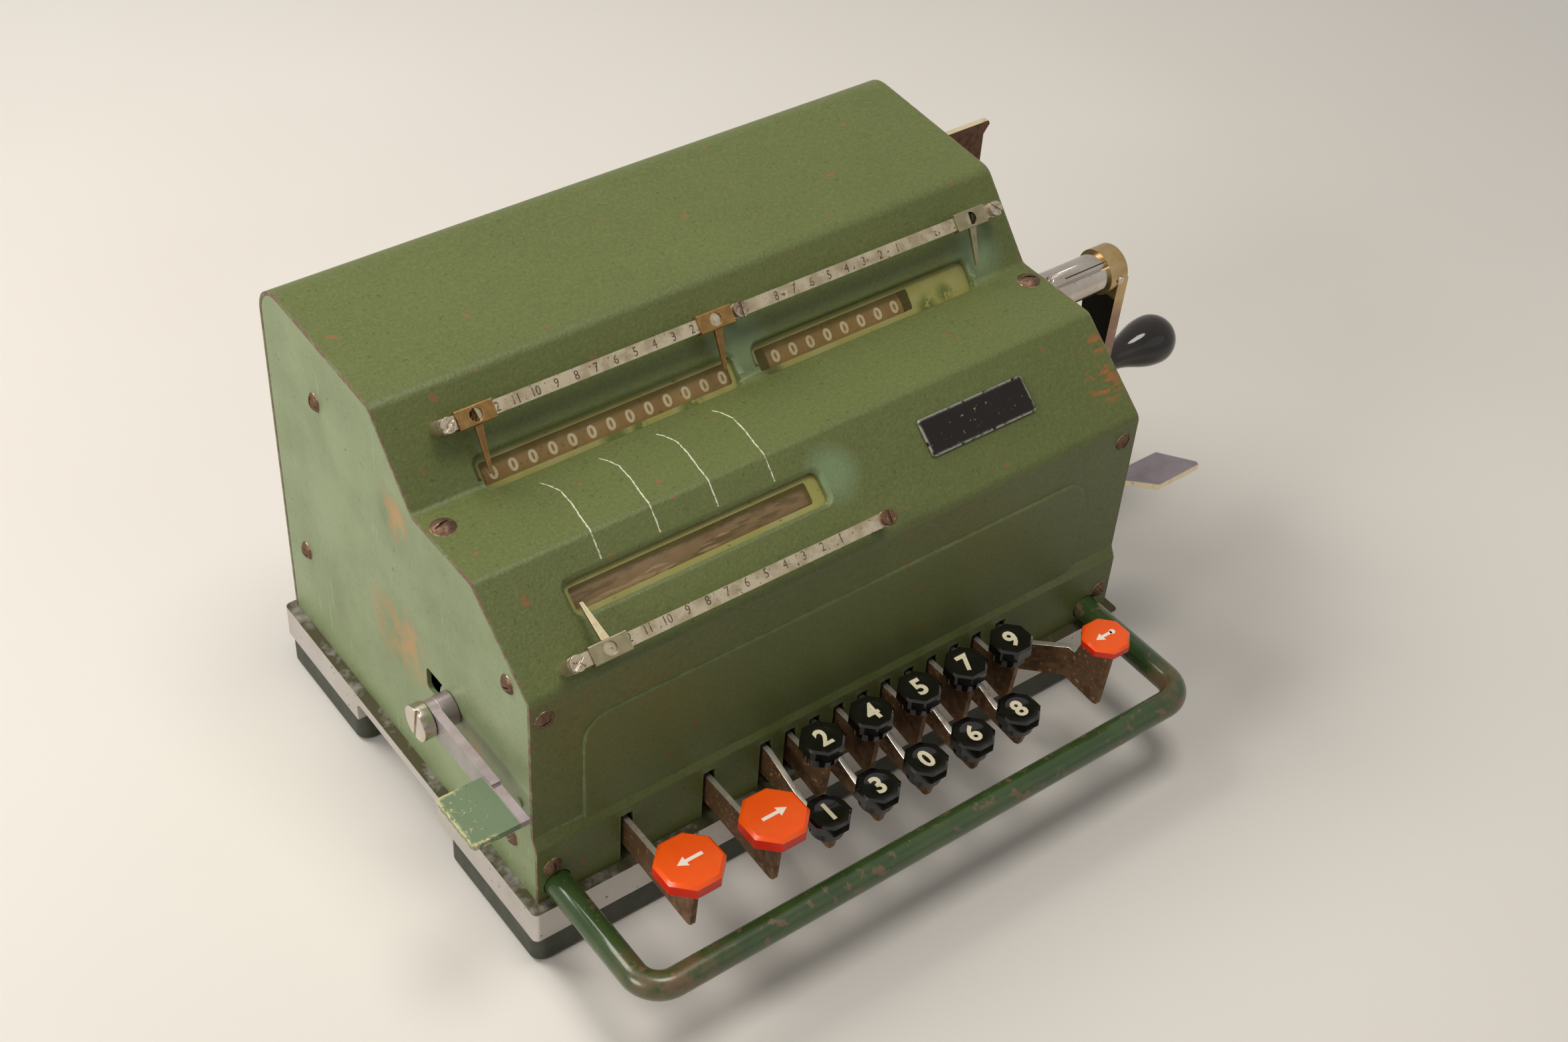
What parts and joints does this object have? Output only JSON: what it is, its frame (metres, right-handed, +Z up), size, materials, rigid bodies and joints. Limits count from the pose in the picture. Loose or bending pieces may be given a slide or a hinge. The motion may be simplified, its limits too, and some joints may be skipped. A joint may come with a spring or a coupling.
{
  "type": "pinwheel calculator",
  "caption": "Desktop pinwheel calculator: green sheet-metal case, number and carriage keys on levers, side crank, clearing levers, dial windows, pointer rails and carrying bar.",
  "frame": {"origin": "middle of the machine's overall footprint, on the surface that its feet stand on", "axes": "+X to the operator's right, along the register shafts and the crank's axis; +Y from the keys towards the rear; +Z up"},
  "size_m": [0.3296, 0.2102, 0.1613],
  "materials": {
    "case_paint": "fine stippled olive green paint",
    "base_metal": "machined casting, dusty",
    "foot_paint": "dark green-grey paint",
    "screw_steel": "tarnished",
    "celluloid": "yellowed clear sheet",
    "plate_black": "gloss black enamel",
    "rail_nickel": "worn bright nickel",
    "pointer_brass": "browned",
    "bar_paint": "glossier green enamel, worn brown at the grip",
    "inner_steel": "oiled",
    "shaft_steel": "ground",
    "dial": "dark brown with cream numerals",
    "gear_brass": "machined",
    "drum_steel": "oiled",
    "lever_steel": "browned, bright at the edges",
    "key_black": "gloss black with cream numerals",
    "key_red": "gloss orange-red with white arrows",
    "crank_nickel": "bright nickel",
    "arm_steel": "browned",
    "grip_plastic": "gloss black-brown",
    "clearing_steel": "worn paint over steel"
  },
  "bodies": {
    "chassis": {"base_plate": "base_metal", "feet": "foot_paint", "top_cover": "case_paint", "left_side_panel": "case_paint", "right_side_panel": "case_paint", "case_screws": "screw_steel", "register_windows": "celluloid", "name_plate": "plate_black", "pointer_rails": "rail_nickel", "rail_screws": "rail_nickel", "carrying_bar": "bar_paint", "left_frame": "inner_steel", "right_frame": "inner_steel", "key_pivot_shaft": "shaft_steel", "key_stop_bar": "inner_steel", "register_shafts": "shaft_steel", "lever_pivot_screws": "crank_nickel"},
    "crank": {"crank_shaft": "crank_nickel", "crank_pin": "shaft_steel", "crank_arm": "arm_steel"},
    "grip": {"crank_grip": "grip_plastic"},
    "idler": {"idler_gear": "gear_brass"},
    "drum_spindle": {"drum_shaft": "shaft_steel"},
    "drum": {"pinwheel_drum": "drum_steel"},
    "result_register": {"result_wheels": "dial"},
    "counter_register": {"counter_wheels": "dial"},
    "setting_register": {"setting_wheels": "dial"},
    "left_lever": {"left_clearing_lever": "clearing_steel"},
    "right_front_lever": {"right_front_clearing_lever": "clearing_steel"},
    "right_rear_lever": {"right_rear_clearing_lever": "clearing_steel"},
    "decimal_pointer_1": {"decimal_pointer_1": "pointer_brass"},
    "decimal_pointer_2": {"decimal_pointer_2": "pointer_brass"},
    "decimal_pointer_3": {"decimal_pointer_3": "pointer_brass"},
    "decimal_pointer_4": {"decimal_pointer_4": "pointer_brass"},
    "key_1": {"key_1_lever": "lever_steel", "key_1_cap": "key_black"},
    "key_2": {"key_2_lever": "lever_steel", "key_2_cap": "key_black"},
    "key_3": {"key_3_lever": "lever_steel", "key_3_cap": "key_black"},
    "key_4": {"key_4_lever": "lever_steel", "key_4_cap": "key_black"},
    "key_0": {"key_0_lever": "lever_steel", "key_0_cap": "key_black"},
    "key_5": {"key_5_lever": "lever_steel", "key_5_cap": "key_black"},
    "key_6": {"key_6_lever": "lever_steel", "key_6_cap": "key_black"},
    "key_7": {"key_7_lever": "lever_steel", "key_7_cap": "key_black"},
    "key_8": {"key_8_lever": "lever_steel", "key_8_cap": "key_black"},
    "key_9": {"key_9_lever": "lever_steel", "key_9_cap": "key_black"},
    "step_left_key": {"step_left_key_lever": "lever_steel", "step_left_key_cap": "key_red"},
    "step_right_key": {"step_right_key_lever": "lever_steel", "step_right_key_cap": "key_red"},
    "carriage_return_key": {"carriage_return_key_lever": "lever_steel", "carriage_return_key_cap": "key_red"}
  },
  "joints": [
    {"name": "crank_turn", "type": "hinge", "parent": "chassis", "child": "crank", "pos_m": [0.07485, 0.00755, 0.1212], "axis": [1, 0, 0], "continuous": true},
    {"name": "grip_spin", "type": "hinge", "parent": "crank", "child": "grip", "pos_m": [0.14485, 0.00605, 0.0788], "axis": [1, 0, 0], "continuous": true},
    {"name": "idler_turn", "type": "hinge", "parent": "chassis", "child": "idler", "pos_m": [0.07335, 0.01952, 0.09868], "axis": [1, 0, 0], "continuous": true},
    {"name": "drum_turn", "type": "hinge", "parent": "chassis", "child": "drum_spindle", "pos_m": [0.07335, 0.02665, 0.0742], "axis": [1, 0, 0], "continuous": true},
    {"name": "drum_shift", "type": "slide", "parent": "drum_spindle", "child": "drum", "axis": [1, 0, 0], "range_m": [-0.08244, 0]},
    {"name": "result_wheels_turn", "type": "hinge", "parent": "chassis", "child": "result_register", "pos_m": [-0.02515, 0.02665, 0.1232], "axis": [1, 0, 0], "continuous": true},
    {"name": "counter_wheels_turn", "type": "hinge", "parent": "chassis", "child": "counter_register", "pos_m": [0.01485, 0.02665, 0.1232], "axis": [1, 0, 0], "continuous": true},
    {"name": "setting_wheels_turn", "type": "hinge", "parent": "chassis", "child": "setting_register", "pos_m": [-0.02515, -0.02125, 0.1104], "axis": [1, 0, 0], "continuous": true},
    {"name": "left_clearing_lever_swing", "type": "hinge", "parent": "chassis", "child": "left_lever", "pos_m": [-0.15015, -0.00385, 0.0694], "axis": [1, 0, 0], "range_deg": [0, 25], "stiffness_Nm_per_rad": 0.3, "springref_deg": -20.05},
    {"name": "right_front_clearing_lever_swing", "type": "hinge", "parent": "chassis", "child": "right_front_lever", "pos_m": [0.09985, -0.00385, 0.0694], "axis": [1, 0, 0], "range_deg": [0, 25], "stiffness_Nm_per_rad": 0.3, "springref_deg": -20.05},
    {"name": "right_rear_clearing_lever_swing", "type": "hinge", "parent": "chassis", "child": "right_rear_lever", "pos_m": [0.09985, 0.06315, 0.0842], "axis": [1, 0, 0], "range_deg": [0, 22], "stiffness_Nm_per_rad": 0.3, "springref_deg": -20.05},
    {"name": "decimal_pointer_1_slide", "type": "slide", "parent": "chassis", "child": "decimal_pointer_1", "axis": [1, 0, 0], "range_m": [-0.0002, 0.034]},
    {"name": "decimal_pointer_2_slide", "type": "slide", "parent": "chassis", "child": "decimal_pointer_2", "axis": [1, 0, 0], "range_m": [-0.034, 0.0002]},
    {"name": "decimal_pointer_3_slide", "type": "slide", "parent": "chassis", "child": "decimal_pointer_3", "axis": [1, 0, 0], "range_m": [-0.083, 0.0013]},
    {"name": "decimal_pointer_4_slide", "type": "slide", "parent": "chassis", "child": "decimal_pointer_4", "axis": [1, 0, 0], "range_m": [-0.002, 0.0895]},
    {"name": "key_1_press", "type": "hinge", "parent": "chassis", "child": "key_1", "pos_m": [-0.05735, 0.01115, 0.0372], "axis": [1, 0, 0], "range_deg": [0, 4], "stiffness_Nm_per_rad": 0.5, "springref_deg": -28.65},
    {"name": "key_2_press", "type": "hinge", "parent": "chassis", "child": "key_2", "pos_m": [-0.0477, 0.01115, 0.0372], "axis": [1, 0, 0], "range_deg": [0, 4], "stiffness_Nm_per_rad": 0.5, "springref_deg": -28.65},
    {"name": "key_3_press", "type": "hinge", "parent": "chassis", "child": "key_3", "pos_m": [-0.03805, 0.01115, 0.0372], "axis": [1, 0, 0], "range_deg": [0, 4], "stiffness_Nm_per_rad": 0.5, "springref_deg": -28.65},
    {"name": "key_4_press", "type": "hinge", "parent": "chassis", "child": "key_4", "pos_m": [-0.0284, 0.01115, 0.0372], "axis": [1, 0, 0], "range_deg": [0, 4], "stiffness_Nm_per_rad": 0.5, "springref_deg": -28.65},
    {"name": "key_0_press", "type": "hinge", "parent": "chassis", "child": "key_0", "pos_m": [-0.01875, 0.01115, 0.0372], "axis": [1, 0, 0], "range_deg": [0, 4], "stiffness_Nm_per_rad": 0.5, "springref_deg": -28.65},
    {"name": "key_5_press", "type": "hinge", "parent": "chassis", "child": "key_5", "pos_m": [-0.0091, 0.01115, 0.0372], "axis": [1, 0, 0], "range_deg": [0, 4], "stiffness_Nm_per_rad": 0.5, "springref_deg": -28.65},
    {"name": "key_6_press", "type": "hinge", "parent": "chassis", "child": "key_6", "pos_m": [0.00055, 0.01115, 0.0372], "axis": [1, 0, 0], "range_deg": [0, 4], "stiffness_Nm_per_rad": 0.5, "springref_deg": -28.65},
    {"name": "key_7_press", "type": "hinge", "parent": "chassis", "child": "key_7", "pos_m": [0.0102, 0.01115, 0.0372], "axis": [1, 0, 0], "range_deg": [0, 4], "stiffness_Nm_per_rad": 0.5, "springref_deg": -28.65},
    {"name": "key_8_press", "type": "hinge", "parent": "chassis", "child": "key_8", "pos_m": [0.01985, 0.01115, 0.0372], "axis": [1, 0, 0], "range_deg": [0, 4], "stiffness_Nm_per_rad": 0.5, "springref_deg": -28.65},
    {"name": "key_9_press", "type": "hinge", "parent": "chassis", "child": "key_9", "pos_m": [0.0295, 0.01115, 0.0372], "axis": [1, 0, 0], "range_deg": [0, 4], "stiffness_Nm_per_rad": 0.5, "springref_deg": -28.65},
    {"name": "step_left_key_press", "type": "hinge", "parent": "chassis", "child": "step_left_key", "pos_m": [-0.10945, 0.01115, 0.0372], "axis": [1, 0, 0], "range_deg": [0, 4], "stiffness_Nm_per_rad": 0.5, "springref_deg": -28.65},
    {"name": "step_right_key_press", "type": "hinge", "parent": "chassis", "child": "step_right_key", "pos_m": [-0.07905, 0.01115, 0.0372], "axis": [1, 0, 0], "range_deg": [0, 4], "stiffness_Nm_per_rad": 0.5, "springref_deg": -28.65},
    {"name": "carriage_return_key_press", "type": "hinge", "parent": "chassis", "child": "carriage_return_key", "pos_m": [0.03985, 0.01115, 0.0372], "axis": [1, 0, 0], "range_deg": [0, 4], "stiffness_Nm_per_rad": 0.5, "springref_deg": -28.65}
  ],
  "couplings": [
    {"joint": "idler_turn", "follows": "crank_turn", "ratio": -0.45714},
    {"joint": "drum_turn", "follows": "crank_turn", "ratio": 1}
  ]
}
